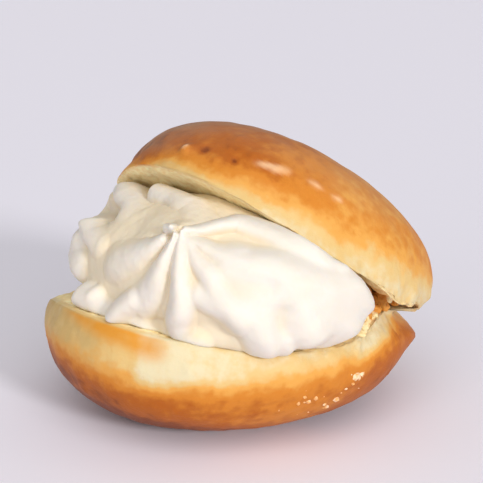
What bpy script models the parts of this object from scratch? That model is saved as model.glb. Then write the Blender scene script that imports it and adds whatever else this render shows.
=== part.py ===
"""Cream doughnut: a soft fried bun, slit along its pale waist, folded open and filled with one large
star-piped swirl of whipped cream.

Frame: metres, +Z up, the bun resting on z = 0 with the origin under the middle of its box. The mouth of the
slit faces -Y and the uncut fold runs along X at the back (+Y).

The bun is modelled closed and slit with a Boolean, and is then folded open about the end of the slit, as the
real one is. Until it is set down, z is measured from the middle of the slit ("slit frame").
"""

import math

import bmesh
import bpy
import numpy as np
from mathutils import Matrix, Vector

MM = 0.001

# ---- Materials ------------------------------------------------------------------------------------------
CRUST_COLOUR = (0.72, 0.32, 0.07)
CRUST_ROUGHNESS = 0.45
WHIPPED_CREAM_COLOUR = (0.93, 0.89, 0.80)
WHIPPED_CREAM_ROUGHNESS = 0.5

# ---- The closed bun -------------------------------------------------------------------------------------
BUN_LENGTH = 100 * MM  # along X
BUN_DEPTH = 96 * MM  # along Y
WAIST_BELOW_SLIT = 4.5 * MM  # the bun is widest a little below the slit
BASE_BELOW_WAIST = 28.8 * MM
CROWN_ABOVE_WAIST = 32.5 * MM
LOWER_FULLNESS = 2.5  # superellipse exponent of the side profile: 2 is an ellipse, more is fuller
UPPER_FULLNESS = 2.6
TUCK = 0.08  # share by which the bun narrows from its waist to just above the slit
TUCK_BOTTOM = -10 * MM
TUCK_TOP = 4 * MM
PLAN_WAVES = ((-0.03, math.radians(29), 2), (-0.018, math.radians(68), 3))  # share, phase, waves round it
LEAN_AZIMUTH = math.radians(43)  # plan direction, from +X, that the slit slopes down towards
LEAN = math.radians(3.1)
THINNER = 0.12  # share by which the lower half is thinner on that side
# Uneven swells and hollows: azimuth and its spread in degrees, height above the slit and its spread, and how
# far the crust stands out
SWELLS = (
    (44, 20, 0, 4 * MM, -6 * MM),
    (-150, 25, 14 * MM, 9 * MM, 1.4 * MM),
    (40, 8, -7 * MM, 4 * MM, 0.8 * MM),
    (42, 14, -16 * MM, 6 * MM, -1.5 * MM),
    (-168, 22, -7 * MM, 6 * MM, -4.5 * MM),
    (-140, 18, 0, 4 * MM, -1.5 * MM),
)
FOOT_LIFT = 1.0 * MM  # the crust's lowest millimetre is pressed flat where the bun rests
BUN_RINGS = 34  # steps from base to crown
BUN_SECTORS = 64  # steps round the bun

# ---- The slit and the fold ------------------------------------------------------------------------------
SLIT_GAP = 1.6 * MM
SLIT_WAVES = ((-1.0 * MM, math.radians(58), 2), (-1.3 * MM, math.radians(40), 3))  # an uneven cut by hand
FOLD_Y = 19 * MM  # where the slit ends, behind the middle
# Where the slit's floor or roof dips or stands proud at the rim: azimuth and its spread in degrees, amount
FLOOR_SHIFTS = ((-160, 32, -10.5 * MM), (18, 9, 2.7 * MM))
ROOF_SHIFTS = ((-142, 22, -4.2 * MM), (10, 20, 1.0 * MM), (18, 9, 1.2 * MM))
BLADE_REACH = 0.6  # the blade's reach from the middle, as a share of the bun's length or depth
BLADE_STEPS_ACROSS = 34
BLADE_STEPS_BACK = 22
OPEN_ANGLE = math.radians(34)
UPPER_SHIFT = np.array([4, 8, -1.5]) * MM  # the cream pushes the top half back and aside
SAG_AZIMUTH = 4  # degrees: where the upper half's torn rim hangs lowest, near the +X end
SAG_SPREAD = 8.5  # degrees
SAG = 2.7 * MM
SAG_FADE = 7 * MM  # how far up the skin it fades
FOLD_START = math.radians(100)  # angle round the slit's end, from its floor, where the bending starts
FOLD_END = math.radians(260)

# ---- The cream: a radius in every direction from a centre in the mouth -----------------------------------
CREAM_CENTRE = np.array([3, -5, 9]) * MM  # slit frame
CREAM_REACH = np.array([44, 37, 36, 20, 21]) * MM  # towards +X, -X, the mouth, the fold, and up or down
CREAM_SQUARENESS = 2.4
END_SPREAD = 7 * MM  # how much further the cream is pushed out at the mouth's -X end
SLUMP = 2.5 * MM  # how far the swirl's shoulder has sunk
SLUMP_DIRECTION = np.array(Vector((-0.72, -0.35, 0.6)).normalized())
CREAM_GAP = 0.35 * MM  # between the cream and the cut faces
CREAM_EDGE = 1.2 * MM  # rounding where the swirl meets the cut faces
PEAK_AZIMUTH = math.radians(-61)  # plan direction, from +X, that the swirl's peak points in
PEAK_RISE = math.radians(27)
PEAK_HEIGHT = 4 * MM  # how far the swirl is drawn out towards its peak
PEAK_SPREAD = 0.3
KNOB_HEIGHT = 2 * MM  # the broken-off tip
KNOB_SPREAD = 0.06
# The piped folds, each a rounded ridge: its path as angles from the peak in radians and azimuths round it in
# degrees, its half width at both ends in radians, and its height at both ends in millimetres
FOLDS = (
    # the tall leaf in front and the narrow one on its right
    (((0.05, 310), (0.10, 288), (0.31, 281), (0.45, 278), (0.62, 276)), (0.025, 0.12), (2.0, 4.5)),
    (((0.05, 315), (0.24, 307), (0.45, 310), (0.64, 310)), (0.025, 0.12), (1.5, 3.5)),
    # the long folds towards the +X end, and the broad swell under them
    (((0.06, 345), (0.21, 12), (0.37, 17), (0.54, 12), (0.75, 6), (1.0, 2)), (0.04, 0.18), (2.2, 4.0)),
    (((0.12, 325), (0.35, 334), (0.45, 340), (0.60, 347), (1.1, 348)), (0.05, 0.19), (1.8, 4.0)),
    (((0.44, 294), (0.56, 309), (0.70, 317), (0.88, 317)), (0.09, 0.18), (2.0, 4.0)),
    (((0.68, 343), (0.82, 337), (1.00, 331)), (0.10, 0.15), (2.6, 4.7)),
    (((0.85, 345), (1.02, 341), (1.30, 338)), (0.12, 0.17), (2.6, 4.4)),
    (((0.95, 353), (1.35, 349)), (0.10, 0.17), (2.5, 4.6)),
    (((0.45, 333), (1.40, 341)), (0.22, 0.36), (2.2, 4.0)),
    # over the top, under the roof
    (((0.16, 50), (0.30, 100), (0.45, 122), (0.62, 135), (0.80, 139)), (0.05, 0.15), (1.5, 4.5)),
    (((0.60, 166), (0.88, 160), (1.25, 154)), (0.09, 0.19), (1.5, 5.0)),
    # the lobes of the -X end
    (((0.88, 189), (0.96, 183), (1.05, 177)), (0.10, 0.11), (3.0, 4.5)),
    (((1.15, 184), (1.25, 190), (1.15, 196)), (0.17, 0.17), (3.8, 3.5)),
    # the two wedges left of the tall leaf
    (((0.08, 222), (0.25, 218), (0.38, 214), (0.45, 212)), (0.03, 0.12), (1.2, 3.5)),
    (((0.08, 262), (0.25, 254), (0.42, 249)), (0.03, 0.11), (1.5, 4.0)),
    # the swirl's foot on the floor, with its two lobes
    (((1.04, 212), (0.90, 217)), (0.11, 0.09), (4.6, 4.5)),
    (((0.60, 241), (0.80, 236)), (0.10, 0.13), (3.5, 6.0)),
    (((1.02, 212), (0.93, 226), (0.82, 245), (0.77, 285)), (0.14, 0.13), (5.4, 3.0)),
    # the curl of the broken-off tip
    (((0.03, 200), (0.07, 190)), (0.04, 0.045), (3.0, 3.2)),
)
FOLD_ROUNDNESS = 0.95  # exponent of each fold's arch: less is squarer, with a sharper valley beside it
FOLD_BLEND = 0.3 * MM
FOLD_FADE = (1.4, 2.2)  # the folds die down between these angles from the peak, inside the bun
FOLD_WANDER = 0.015  # how far, in radians, the folds stray from their paths
# Hollows: angle from the peak and azimuth in degrees of both ends, depth, and width
CREASES = (
    ((0.66, 262), (0.66, 300), 2.0 * MM, 0.08),
    ((1.42, 345), (1.36, 334), 4.0 * MM, 0.09),
    ((0.74, 330), (0.91, 320), 1.6 * MM, 0.035),
    ((0.44, 314), (0.60, 334), 0.8 * MM, 0.06),
    ((0.28, 348), (0.56, 359), 1.2 * MM, 0.06),
    ((0.98, 4), (1.40, 0), 3.0 * MM, 0.08),
    ((0.95, 169), (1.60, 165), 4.5 * MM, 0.10),
    ((0.45, 190), (0.70, 200), 0.8 * MM, 0.12),
)
CREAM_RINGS = 42
CREAM_SECTORS = 76
LONGEST_RAY = 90 * MM
RAY_STEP = 2 * MM
HALVINGS = 16  # bisection steps to find where a ray meets a cut face


def smoothstep(t):
    t = np.clip(t, 0.0, 1.0)
    return t * t * (3 - 2 * t)


def wave_sum(azimuth, waves):
    return sum(amount * np.cos(count * azimuth + phase) for amount, phase, count in waves)


def hump(azimuth, middle, spread):
    """1 at the middle azimuth, given in degrees as its spread is, and falling away on both sides."""
    off = (np.degrees(azimuth) - middle + 180) % 360 - 180
    return np.exp(-(off / spread) ** 2)


# ---- Mesh helpers ---------------------------------------------------------------------------------------
def mesh_object(name, points, faces):
    mesh = bpy.data.meshes.new(name)
    mesh.from_pydata([tuple(point) for point in points], [], faces)
    obj = bpy.data.objects.new(name, mesh)
    bpy.context.scene.collection.objects.link(obj)
    bm = bmesh.new()
    bm.from_mesh(mesh)
    bmesh.ops.recalc_face_normals(bm, faces=bm.faces)
    bm.to_mesh(mesh)
    bm.free()
    return obj


def grid_ball(name, rings):
    """A closed ball from rings of points, each end closed by a fan round one point."""
    count, sectors, _ = rings.shape
    points = [rings[0].mean(axis=0), *rings.reshape(-1, 3), rings[-1].mean(axis=0)]
    last = len(points) - 1

    def index(ring, sector):
        return 1 + ring * sectors + sector % sectors

    faces = []
    for sector in range(sectors):
        faces.append((0, index(0, sector + 1), index(0, sector)))
        faces.append((last, index(count - 1, sector), index(count - 1, sector + 1)))
        for ring in range(count - 1):
            faces.append((index(ring, sector), index(ring, sector + 1),
                          index(ring + 1, sector + 1), index(ring + 1, sector)))
    return mesh_object(name, points, faces)


def positions(obj):
    return np.array([vertex.co for vertex in obj.data.vertices])


def place(obj, points):
    for vertex, point in zip(obj.data.vertices, points):
        vertex.co = point


def apply_boolean(obj, cutter, operation):
    modifier = obj.modifiers.new(operation.title(), "BOOLEAN")
    modifier.operation = operation
    modifier.object = cutter
    modifier.solver = "EXACT"
    graph = bpy.context.evaluated_depsgraph_get()
    mesh = bpy.data.meshes.new_from_object(obj.evaluated_get(graph))
    obj.modifiers.clear()
    obj.data = mesh
    bpy.data.objects.remove(cutter)


def add_material(obj, name, colour, roughness):
    material = bpy.data.materials.new(name)
    material.use_nodes = True
    surface = material.node_tree.nodes["Principled BSDF"]
    surface.inputs["Base Color"].default_value = (*colour, 1)
    surface.inputs["Roughness"].default_value = roughness
    surface.inputs["Metallic"].default_value = 0
    obj.data.materials.append(material)
    obj.data.shade_smooth()
    obj.data.set_sharp_from_angle(angle=math.radians(50))


# ---- The bun --------------------------------------------------------------------------------------------
def closed_bun_rings():
    """Rings of points from the base to the crown of the bun before it is slit."""
    latitude = np.linspace(-math.pi / 2, math.pi / 2, BUN_RINGS + 1)[1:-1]
    azimuth = np.arange(BUN_SECTORS) * 2 * math.pi / BUN_SECTORS
    lat, azi = np.meshgrid(latitude, azimuth, indexing="ij")
    fullness = np.where(lat < 0, LOWER_FULLNESS, UPPER_FULLNESS)
    height = np.where(lat < 0, BASE_BELOW_WAIST, CROWN_ABOVE_WAIST)
    above_waist = height * np.sign(lat) * np.abs(np.sin(lat)) ** (2 / fullness)
    above_slit = above_waist - WAIST_BELOW_SLIT
    tuck = TUCK * smoothstep((above_slit - TUCK_BOTTOM) / (TUCK_TOP - TUCK_BOTTOM))
    reach = np.cos(lat) ** (2 / fullness) * (1 - tuck) * (1 + wave_sum(azi, PLAN_WAVES))
    for middle, spread, level, thickness, amount in SWELLS:
        swell = hump(azi, middle, spread) * np.exp(-((above_slit - level) / thickness) ** 2)
        reach = reach + amount / (BUN_LENGTH / 2) * swell
    x = BUN_LENGTH / 2 * reach * np.cos(azi)
    y = BUN_DEPTH / 2 * reach * np.sin(azi)
    aside = (x * math.cos(LEAN_AZIMUTH) + y * math.sin(LEAN_AZIMUTH)) / (BUN_LENGTH / 2)
    thinned = above_waist * (1 - THINNER * aside) - WAIST_BELOW_SLIT
    return np.stack([x, y, np.where(above_waist < 0, thinned, above_slit)], axis=-1)


def rim_reach(x, y):
    """0 over the bun's middle and 1 at its rim."""
    return np.clip(np.hypot(x / (BUN_LENGTH / 2), y / (BUN_DEPTH / 2)), 0, 2 * BLADE_REACH)


def cut_height(x, y):
    """Height of the middle of a clean but uneven cut, in the closed bun."""
    return rim_reach(x, y) ** 2 * wave_sum(np.arctan2(y, x), SLIT_WAVES)


def face_shift(x, y, shifts):
    """How far a face of the slit stands off the clean cut."""
    azimuth = np.arctan2(y, x)
    shift = sum(amount * hump(azimuth, middle, spread) for middle, spread, amount in shifts)
    return rim_reach(x, y) ** 3 * shift


def face_height(x, y, side):
    """Height of the slit's floor (side -1), its roof (side 1), or a level between them."""
    floor = face_shift(x, y, FLOOR_SHIFTS) - SLIT_GAP / 2
    roof = face_shift(x, y, ROOF_SHIFTS) + SLIT_GAP / 2
    return cut_height(x, y) + (floor * (1 - side) + roof * (1 + side)) / 2


def slit_cutter():
    """A thin gridded blade with a round end, longer than the bun on its other three sides."""
    across = np.linspace(-BLADE_REACH, BLADE_REACH, BLADE_STEPS_ACROSS + 1) * BUN_LENGTH
    back = np.linspace(-BLADE_REACH * BUN_DEPTH, FOLD_Y, BLADE_STEPS_BACK + 1)
    # each loop point: its y, and its side of the slit from the floor, -1, to the roof, 1
    root = [(FOLD_Y + SLIT_GAP / 2 * math.cos(turn), math.sin(turn)) for turn in np.radians((-45, 0, 45))]
    loop = [(y, -1) for y in back] + root + [(y, 1) for y in reversed(back)]
    points = []
    for x in across:
        for y, side in loop:
            points.append((x, y, face_height(x, y, side)))
    size = len(loop)
    faces = []
    for row in range(BLADE_STEPS_ACROSS):
        for here in range(size):
            ahead = (here + 1) % size
            faces.append((row * size + here, row * size + ahead,
                          (row + 1) * size + ahead, (row + 1) * size + here))
    for first in (0, BLADE_STEPS_ACROSS * size):
        middle = first + size // 2
        faces += [(first + j, first + j + 1, first + size - 2 - j, first + size - 1 - j)
                  for j in range(size // 2 - 1)]
        faces.append((middle - 1, middle, middle + 1))
    return mesh_object("slit_cutter", points, faces)


def rim_sag(points):
    """How far the swung-up half hangs lower than it would, near its torn rim."""
    x, y = points[..., 0], points[..., 1]
    above_cut = points[..., 2] - face_height(x, y, 0)
    near_rim = smoothstep((rim_reach(x, y) - 0.7) / 0.25) * np.exp(-(above_cut / SAG_FADE) ** 2)
    return SAG * hump(np.arctan2(y, x), SAG_AZIMUTH, SAG_SPREAD) * near_rim


def fold_share(points):
    """0 on the lower half, 1 on the upper half, and a smooth turn between them in the uncut back."""
    above_cut = points[:, 2] - face_height(points[:, 0], points[:, 1], 0)
    turn = np.mod(-np.arctan2(above_cut, FOLD_Y - points[:, 1]), 2 * math.pi)
    return smoothstep((turn - FOLD_START) / (FOLD_END - FOLD_START))


def folded_open(points):
    """Closed-bun points moved to where they are when the top half is swung up about the slit's end."""
    share = fold_share(points)
    angle = OPEN_ANGLE * share
    y = points[:, 1] - FOLD_Y
    z = points[:, 2]
    moved = points.copy()
    moved[:, 1] = FOLD_Y + y * np.cos(angle) + z * np.sin(angle)
    moved[:, 2] = z * np.cos(angle) - y * np.sin(angle)
    moved[:, 2] -= share * rim_sag(points)
    return moved + share[:, None] * UPPER_SHIFT


def make_bun():
    bun = grid_ball("bun", closed_bun_rings())
    apply_boolean(bun, slit_cutter(), "DIFFERENCE")
    place(bun, folded_open(positions(bun)))
    return bun


# ---- The cream ------------------------------------------------------------------------------------------
def cream_directions():
    """Angle from the peak, azimuth round it, and unit direction, in rings from the peak to the back."""
    step = (np.arange(CREAM_RINGS) + 1) / (CREAM_RINGS + 1)
    rings = math.pi * (0.4 * step + 0.6 * step ** 2)  # closer together near the peak
    sectors = np.arange(CREAM_SECTORS) * 2 * math.pi / CREAM_SECTORS
    from_peak, azimuth = np.meshgrid(rings, sectors, indexing="ij")
    ahead = np.array([math.cos(PEAK_AZIMUTH), math.sin(PEAK_AZIMUTH), 0])
    right = np.array([-ahead[1], ahead[0], 0])
    peak = math.cos(PEAK_RISE) * ahead + math.sin(PEAK_RISE) * np.array([0, 0, 1])
    up = np.cross(peak, right)
    sideways = np.cos(azimuth)[..., None] * right + np.sin(azimuth)[..., None] * up
    return from_peak, azimuth, np.cos(from_peak)[..., None] * peak + np.sin(from_peak)[..., None] * sideways


def swirl_plane(from_peak, azimuth):
    """The swirl laid flat: distance is the angle from the peak, direction the azimuth round it."""
    return np.stack([from_peak * np.cos(azimuth), from_peak * np.sin(azimuth)], axis=-1)


def wandering(flat):
    """Flattened points shifted a little to and fro, so that the folds run unevenly."""
    x, y = flat[..., 0], flat[..., 1]
    stray_x = np.sin(7 * y + 1) + 0.6 * np.sin(17 * y + 5 * x)
    stray_y = np.sin(8 * x + 2) + 0.6 * np.sin(15 * x - 6 * y)
    amount = FOLD_WANDER * np.minimum(1, 3 * np.hypot(x, y))
    return np.stack([x + amount * stray_x, y + amount * stray_y], axis=-1)


def off_path(flat, path):
    """Distance from each flattened point to a path, and how far along the path its nearest point is."""
    angles, azimuths = np.array(path).T
    stops = swirl_plane(angles, np.radians(azimuths))
    nearest = np.full(flat.shape[:-1], np.inf)
    along = np.zeros(flat.shape[:-1])
    for number, (start, end) in enumerate(zip(stops[:-1], stops[1:])):
        run = end - start
        share = np.clip(((flat - start) @ run) / (run @ run), 0, 1)
        distance = np.linalg.norm(flat - start - share[..., None] * run, axis=-1)
        closer = distance < nearest
        nearest = np.where(closer, distance, nearest)
        along = np.where(closer, (number + share) / (len(stops) - 1), along)
    return nearest, along


def fold_height(flat):
    """Height of the folds, the highest one where they meet."""
    total = np.ones(flat.shape[:-1])
    for path, widths, heights in FOLDS:
        distance, along = off_path(flat, path)
        width = widths[0] + (widths[1] - widths[0]) * along
        height = (heights[0] + (heights[1] - heights[0]) * along) * MM
        arch = np.clip(1 - (distance / width) ** 2, 0, 1) ** FOLD_ROUNDNESS
        total += np.exp(height * arch / FOLD_BLEND) - 1
    return FOLD_BLEND * np.log(total)


def crease_depth(flat):
    depth = np.zeros(flat.shape[:-1])
    for start, end, deep, width in CREASES:
        distance, _ = off_path(flat, (start, end))
        depth += deep * np.exp(-(distance / width) ** 2)
    return depth


def swirl_radius(from_peak, azimuth, direction):
    """Distance from the cream's centre to the piped surface, before the cut faces flatten it."""
    plus_x, minus_x, front, back, z_reach = CREAM_REACH
    x = direction[..., 0] / np.where(direction[..., 0] > 0, plus_x, minus_x)
    y = direction[..., 1] / np.where(direction[..., 1] < 0, front, back)
    z = direction[..., 2] / z_reach
    body = (np.abs(x) ** CREAM_SQUARENESS + np.abs(y) ** CREAM_SQUARENESS
            + np.abs(z) ** CREAM_SQUARENESS) ** (-1 / CREAM_SQUARENESS)
    body += END_SPREAD * smoothstep((-direction[..., 0] - 0.7) / 0.3)
    body -= SLUMP * smoothstep((direction @ SLUMP_DIRECTION - 0.4) / 0.6)
    fade_start, fade_end = FOLD_FADE
    fade = 1 - smoothstep((from_peak - fade_start) / (fade_end - fade_start))
    flat = wandering(swirl_plane(from_peak, azimuth))
    relief = fold_height(flat) * fade - crease_depth(flat)
    peak = PEAK_HEIGHT * np.exp(-from_peak / PEAK_SPREAD)
    knob = KNOB_HEIGHT * np.exp(-(from_peak / KNOB_SPREAD) ** 2)
    return body + relief + peak + knob


def above_floor(points):
    """Clearance over the lower cut face."""
    return points[..., 2] - face_height(points[..., 0], points[..., 1], -1) - CREAM_GAP


def below_roof(points):
    """Clearance under the swung-up cut face, measured where it lies when the bun is closed."""
    moved = points - UPPER_SHIFT
    y = moved[..., 1] - FOLD_Y
    z = moved[..., 2]
    closed_y = FOLD_Y + y * math.cos(OPEN_ANGLE) - z * math.sin(OPEN_ANGLE)
    closed_z = y * math.sin(OPEN_ANGLE) + z * math.cos(OPEN_ANGLE)
    face = face_height(moved[..., 0], closed_y, 1)
    sag = rim_sag(np.stack([moved[..., 0], closed_y, face], axis=-1)) * math.cos(OPEN_ANGLE)
    return face - sag - closed_z - CREAM_GAP


def distance_to_face(direction, clearance):
    """How far each ray from the cream's centre goes before its clearance is first used up."""
    near = np.zeros(direction.shape[:-1])
    clear = np.full(direction.shape[:-1], True)
    for distance in np.arange(RAY_STEP, LONGEST_RAY, RAY_STEP):
        clear &= clearance(CREAM_CENTRE + distance * direction) > 0
        near = np.where(clear, distance, near)
    far = near + RAY_STEP
    for _ in range(HALVINGS):
        middle = (near + far) / 2
        free = clearance(CREAM_CENTRE + middle[..., None] * direction) > 0
        near = np.where(free, middle, near)
        far = np.where(free, far, middle)
    return near


def make_cream():
    from_peak, azimuth, direction = cream_directions()
    limits = (swirl_radius(from_peak, azimuth, direction), distance_to_face(direction, above_floor),
              distance_to_face(direction, below_roof))
    radius = -CREAM_EDGE * np.log(sum(np.exp(-limit / CREAM_EDGE) for limit in limits))  # a rounded minimum
    return grid_ball("cream", CREAM_CENTRE + radius[..., None] * direction)


# ---- Setting it down ------------------------------------------------------------------------------------
def lean(points):
    """Slit-frame points tipped so that the slit slopes down towards LEAN_AZIMUTH."""
    axis = Vector((-math.sin(LEAN_AZIMUTH), math.cos(LEAN_AZIMUTH), 0))
    return points @ np.array(Matrix.Rotation(LEAN, 3, axis)).T


def set_down(objects):
    """Leans the objects over, presses the lowest part flat on z = 0 and centres them over the origin."""
    leaned = [lean(positions(obj)) for obj in objects]
    everything = np.concatenate(leaned)
    low, high = everything.min(axis=0), everything.max(axis=0)
    origin = np.array([(low[0] + high[0]) / 2, (low[1] + high[1]) / 2, low[2] + FOOT_LIFT])
    for obj, points in zip(objects, leaned):
        points = points - origin
        points[:, 2] = np.maximum(points[:, 2], 0)
        place(obj, points)


def main():
    for obj in list(bpy.data.objects):
        bpy.data.objects.remove(obj)
    bun = make_bun()
    cream = make_cream()
    set_down([bun, cream])
    add_material(bun, "bun_crust", CRUST_COLOUR, CRUST_ROUGHNESS)
    add_material(cream, "whipped_cream", WHIPPED_CREAM_COLOUR, WHIPPED_CREAM_ROUGHNESS)


main()
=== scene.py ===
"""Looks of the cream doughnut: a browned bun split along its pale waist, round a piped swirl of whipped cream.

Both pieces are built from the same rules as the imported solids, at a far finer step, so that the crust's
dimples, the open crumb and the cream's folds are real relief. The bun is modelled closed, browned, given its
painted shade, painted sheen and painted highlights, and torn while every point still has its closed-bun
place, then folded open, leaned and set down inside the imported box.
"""

import math

import bmesh
import bpy
import numpy as np
from mathutils import Matrix, Vector, noise


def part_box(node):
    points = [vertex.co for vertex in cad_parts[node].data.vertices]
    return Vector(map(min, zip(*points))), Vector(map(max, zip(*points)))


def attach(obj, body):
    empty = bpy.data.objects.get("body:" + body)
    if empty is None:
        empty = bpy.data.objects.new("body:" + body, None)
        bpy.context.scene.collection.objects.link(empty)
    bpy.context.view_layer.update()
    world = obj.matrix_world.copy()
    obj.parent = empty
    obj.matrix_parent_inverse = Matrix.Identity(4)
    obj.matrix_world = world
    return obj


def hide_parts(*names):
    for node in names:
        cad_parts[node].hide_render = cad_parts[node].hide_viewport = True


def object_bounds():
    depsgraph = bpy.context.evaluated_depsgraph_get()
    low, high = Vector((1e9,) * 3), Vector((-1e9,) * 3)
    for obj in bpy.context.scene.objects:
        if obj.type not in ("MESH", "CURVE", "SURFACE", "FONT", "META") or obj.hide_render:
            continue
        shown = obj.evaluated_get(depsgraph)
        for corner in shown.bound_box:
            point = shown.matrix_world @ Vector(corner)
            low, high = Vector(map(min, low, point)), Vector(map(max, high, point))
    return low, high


MM = 0.001
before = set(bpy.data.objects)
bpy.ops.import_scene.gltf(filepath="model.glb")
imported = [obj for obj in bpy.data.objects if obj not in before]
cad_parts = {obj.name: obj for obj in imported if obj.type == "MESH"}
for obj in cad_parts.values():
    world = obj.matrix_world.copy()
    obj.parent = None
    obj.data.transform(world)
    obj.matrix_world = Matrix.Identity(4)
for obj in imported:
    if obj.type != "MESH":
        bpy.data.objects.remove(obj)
packed_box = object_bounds()

# ---- The closed bun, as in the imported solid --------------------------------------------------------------
BUN_LENGTH = 100 * MM
BUN_DEPTH = 96 * MM
WAIST_BELOW_SLIT = 4.5 * MM
BASE_BELOW_WAIST = 28.8 * MM
CROWN_ABOVE_WAIST = 32.5 * MM
LOWER_FULLNESS = 2.5
UPPER_FULLNESS = 2.6
TUCK = 0.08
TUCK_BOTTOM = -10 * MM
TUCK_TOP = 4 * MM
PLAN_WAVES = ((-0.03, math.radians(29), 2), (-0.018, math.radians(68), 3))
LEAN_AZIMUTH = math.radians(43)
LEAN = math.radians(3.1)
THINNER = 0.12
# Uneven swells and hollows: azimuth and its spread in degrees, height and its spread, outward amount
SWELLS = (
    (44, 20, 0, 4 * MM, -6 * MM),
    (-150, 25, 14 * MM, 9 * MM, 1.4 * MM),
    (40, 8, -7 * MM, 4 * MM, 0.8 * MM),
    (42, 14, -16 * MM, 6 * MM, -1.5 * MM),
    (-168, 22, -7 * MM, 6 * MM, -4.5 * MM),
    (-140, 18, 0, 4 * MM, -1.5 * MM),
)

# ---- The slit and the fold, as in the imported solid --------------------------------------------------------
SLIT_GAP = 1.6 * MM
SLIT_WAVES = ((-1.0 * MM, math.radians(58), 2), (-1.3 * MM, math.radians(40), 3))
FOLD_Y = 19 * MM
# Where the slit's floor or roof dips or stands proud at the rim: azimuth and its spread in degrees, amount
FLOOR_SHIFTS = ((-160, 32, -10.5 * MM), (18, 9, 2.7 * MM))
ROOF_SHIFTS = ((-142, 22, -4.2 * MM), (10, 20, 1.0 * MM), (18, 9, 1.2 * MM))
OPEN_ANGLE = math.radians(34)
UPPER_SHIFT = np.array([4, 8, -1.5]) * MM
SAG_AZIMUTH = 4  # degrees
SAG_SPREAD = 8.5
SAG = 2.7 * MM
SAG_FADE = 7 * MM
FOLD_START = math.radians(100)
FOLD_END = math.radians(260)

# ---- How finely the bun is built --------------------------------------------------------------------------
BUN_SECTORS = 480
LOWER_RINGS = 56
UPPER_RINGS = 62
FACE_ROWS = 44
PROFILE_SAMPLES = 300
RIM_DENSITY = 1.35  # above 1, rings gather towards the rim
FACE_DENSITY = 1.6
ROOT_TURNS = np.radians((-45, 0, 45))
MERGE = 0.04 * MM
BOX_EASE = 0.8 * MM
RIM_ROUNDING = 0.9 * MM
SOFT_RIM_ROUNDING = 3.0 * MM  # at the -X end of the upper half
RIM_SMOOTHING_STEPS = 24
CRUMB_EDGE = 0.05  # over this share of the bun's reach, crust gives way to crumb

# ---- The cream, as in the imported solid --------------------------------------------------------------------
CREAM_CENTRE = np.array([3, -5, 9]) * MM
CREAM_REACH = np.array([44, 37, 36, 20, 21]) * MM
CREAM_SQUARENESS = 2.4
END_SPREAD = 7 * MM
SLUMP = 2.5 * MM
SLUMP_DIRECTION = np.array(Vector((-0.72, -0.35, 0.6)).normalized())
CREAM_GAP = -0.25 * MM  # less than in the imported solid, as it touches the crumb
CREAM_EDGE = 0.8 * MM
PEAK_AZIMUTH = math.radians(-61)
PEAK_RISE = math.radians(27)
PEAK_HEIGHT = 4 * MM
PEAK_SPREAD = 0.3
KNOB_HEIGHT = 2 * MM
KNOB_SPREAD = 0.06
# The folds, each a rounded ridge: its path as angles from the peak and azimuths round it in degrees, its half
# width at both ends in radians, and its height at both ends in millimetres
FOLDS = (
    # the tall leaf in front and the narrow one on its right
    (((0.05, 310), (0.10, 288), (0.31, 281), (0.45, 278), (0.62, 276)), (0.025, 0.12), (2.0, 4.5)),
    (((0.05, 315), (0.24, 307), (0.45, 310), (0.64, 310)), (0.025, 0.12), (1.5, 3.5)),
    # the long folds towards the +X end, and the broad swell under them
    (((0.06, 345), (0.21, 12), (0.37, 17), (0.54, 12), (0.75, 6), (1.0, 2)), (0.04, 0.18), (2.2, 4.0)),
    (((0.12, 325), (0.35, 334), (0.45, 340), (0.60, 347), (1.1, 348)), (0.05, 0.19), (1.8, 4.0)),
    (((0.44, 294), (0.56, 309), (0.70, 317), (0.88, 317)), (0.09, 0.18), (2.0, 4.0)),
    (((0.68, 343), (0.82, 337), (1.00, 331)), (0.10, 0.15), (2.6, 4.7)),
    (((0.85, 345), (1.02, 341), (1.30, 338)), (0.12, 0.17), (2.6, 4.4)),
    (((0.95, 353), (1.35, 349)), (0.10, 0.17), (2.5, 4.6)),
    (((0.45, 333), (1.40, 341)), (0.22, 0.36), (2.2, 4.0)),
    # over the top, under the roof
    (((0.16, 50), (0.30, 100), (0.45, 122), (0.62, 135), (0.80, 139)), (0.12, 0.17), (0.3, 4.5)),
    (((0.60, 166), (0.88, 160), (1.25, 154)), (0.14, 0.2), (0.3, 5.0)),
    # the lobes of the -X end
    (((0.80, 189), (0.96, 183), (1.05, 177)), (0.12, 0.12), (1.2, 4.5)),
    (((1.15, 184), (1.25, 190), (1.15, 196)), (0.17, 0.17), (3.8, 3.5)),
    # the two wedges left of the tall leaf
    (((0.14, 221), (0.25, 218), (0.38, 214), (0.62, 208)), (0.05, 0.16), (2.6, 1.5)),
    (((0.06, 262), (0.25, 254), (0.42, 249), (0.58, 246)), (0.03, 0.14), (2.9, 2.0)),
    # the swirl's foot on the floor, with its two lobes
    (((1.04, 212), (0.90, 217)), (0.11, 0.09), (4.6, 4.5)),
    (((0.60, 241), (0.80, 236)), (0.10, 0.13), (3.5, 6.0)),
    (((1.02, 212), (0.93, 226), (0.82, 245), (0.77, 285)), (0.14, 0.13), (5.8, 1.8)),
    # the curl of the broken-off tip
    (((0.05, 200), (0.09, 188)), (0.04, 0.045), (3.4, 3.3)),
)
FOLD_ROUNDNESS = 0.95  # exponent of each fold's arch: less is squarer, with a sharper valley beside it
FOLD_BLEND = 0.5 * MM
FOLD_FADE = (1.4, 2.2)
FOLD_WANDER = 0.015  # radians
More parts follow.
